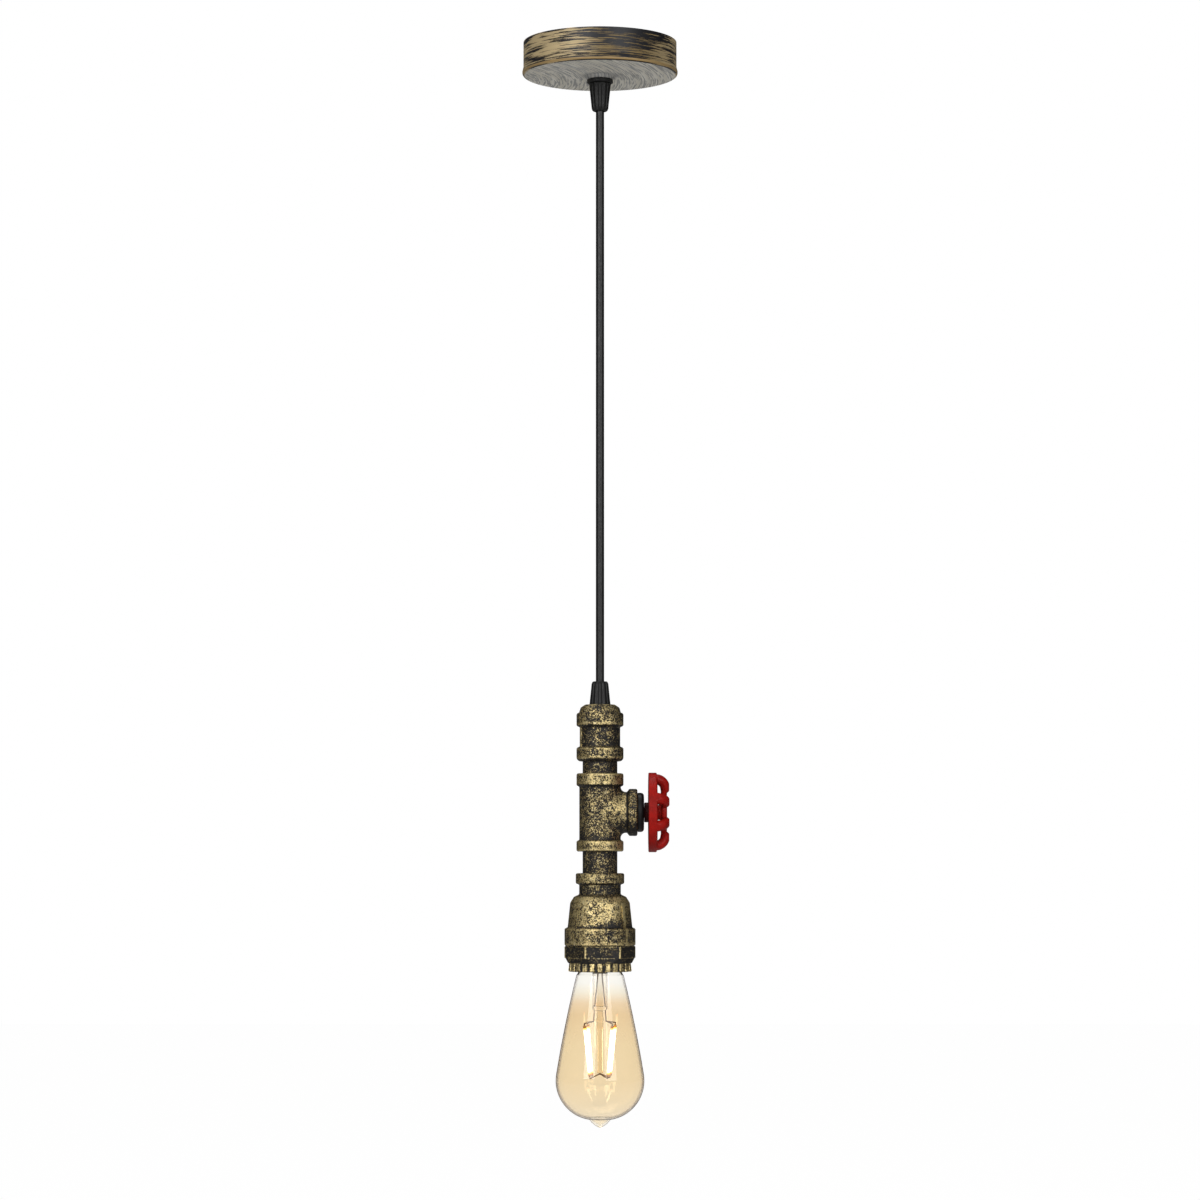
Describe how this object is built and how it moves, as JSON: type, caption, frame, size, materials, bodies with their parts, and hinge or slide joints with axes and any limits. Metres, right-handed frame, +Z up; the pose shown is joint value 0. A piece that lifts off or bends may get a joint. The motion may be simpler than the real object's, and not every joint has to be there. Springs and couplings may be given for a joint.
{
  "type": "pipe pendant light",
  "caption": "Pendant light on a cord: round ceiling rose, threaded pipe fittings with a tee and a red handwheel, and a pear-shaped filament bulb.",
  "frame": {"origin": "middle of the ceiling bracket's screw pattern, on the ceiling plane; the light hangs below it", "axes": "+Z up, out of the bracket towards the ceiling; +X the way the tee's branch and handwheel point"},
  "size_m": [0.0984, 0.0984, 0.6828],
  "materials": {
    "rose_paint": "brushed bronze paint, black streaks",
    "zinc_steel": "zinc plated sheet and nuts",
    "screw_brass": "bright",
    "block_plastic": "natural polyamide",
    "grip_plastic": "black moulded",
    "collet_rubber": "soft",
    "flex_sheath": "black satin sheath",
    "core_brown": "live core",
    "core_blue": "neutral core",
    "core_earth": "green and yellow core",
    "aged_iron": "black with rubbed gold highlights",
    "porcelain": "white glazed porcelain",
    "shell_brass": "bright",
    "switch_plastic": "black phenolic",
    "wheel_red": "red gloss paint on a casting",
    "collar_red": "dark red paint",
    "spindle_steel": "dark steel",
    "amber_glass": "amber tinted, clear at the neck",
    "clear_glass": "clear",
    "insulator_glass": "black vitrite",
    "solder": "soldered contact",
    "wire_steel": "nickel wire",
    "filament_coat": "phosphor coating, lit"
  },
  "bodies": {
    "root": {"ceiling_bracket": "zinc_steel", "rose_cover": "rose_paint", "terminal_block": "block_plastic", "terminal_tubes": "screw_brass", "terminal_screws": "screw_brass", "block_screws": "zinc_steel", "earth_screw": "screw_brass", "upper_grip_base": "grip_plastic", "upper_grip_nut": "grip_plastic", "upper_grip_collet": "collet_rubber", "upper_lock_nut": "zinc_steel", "flex_in_rose": "flex_sheath", "rose_live_core": "core_brown", "rose_neutral_core": "core_blue", "rose_earth_core": "core_earth"},
    "flex": {"suspension_flex": "flex_sheath"},
    "pendant": {"lower_grip_nut": "grip_plastic", "lower_grip_collet": "collet_rubber", "lower_grip_base": "grip_plastic", "lower_lock_nut": "zinc_steel", "top_bush": "aged_iron", "pipe_socket": "aged_iron", "upper_nipple": "aged_iron", "pipe_tee": "aged_iron", "lower_nipple": "aged_iron", "bell_reducer": "aged_iron", "hex_bush": "aged_iron", "fluted_ring": "aged_iron", "flex_in_pipe": "flex_sheath", "pipe_live_core": "core_brown", "switch_return_core": "core_brown", "pipe_neutral_core": "core_blue", "pipe_earth_core": "core_earth", "lampholder_body": "porcelain", "screw_shell": "shell_brass", "contact_spring": "shell_brass", "holder_terminals": "screw_brass", "holder_terminal_screws": "screw_brass", "tee_plug": "grip_plastic", "rotary_switch": "switch_plastic", "switch_tabs": "screw_brass"},
    "handwheel": {"spindle": "spindle_steel", "spindle_collar": "collar_red", "handwheel": "wheel_red", "wheel_screw": "spindle_steel"},
    "bulb": {"bulb_glass": "amber_glass", "bulb_cap": "shell_brass", "cap_insulator": "insulator_glass", "cap_contact": "solder", "glass_stem": "clear_glass", "lead_wires": "wire_steel", "bottom_star": "wire_steel", "led_filaments": "filament_coat", "filament_caps": "wire_steel"}
  },
  "joints": [
    {"name": "flex_swing", "type": "hinge", "parent": "root", "child": "flex", "pos_m": [0, 0, -0.0438], "axis": [0, 1, 0], "range_deg": [-25, 25]},
    {"name": "pendant_sway", "type": "hinge", "parent": "flex", "child": "pendant", "pos_m": [0, 0, -0.405], "axis": [1, 0, 0], "range_deg": [-25, 25]},
    {"name": "wheel_turn", "type": "hinge", "parent": "pendant", "child": "handwheel", "pos_m": [0.0303, 0, -0.487], "axis": [1, 0, 0], "continuous": true},
    {"name": "bulb_unscrew", "type": "slide", "parent": "pendant", "child": "bulb", "axis": [0, 0, -1], "range_m": [0, 0.035]}
  ]
}
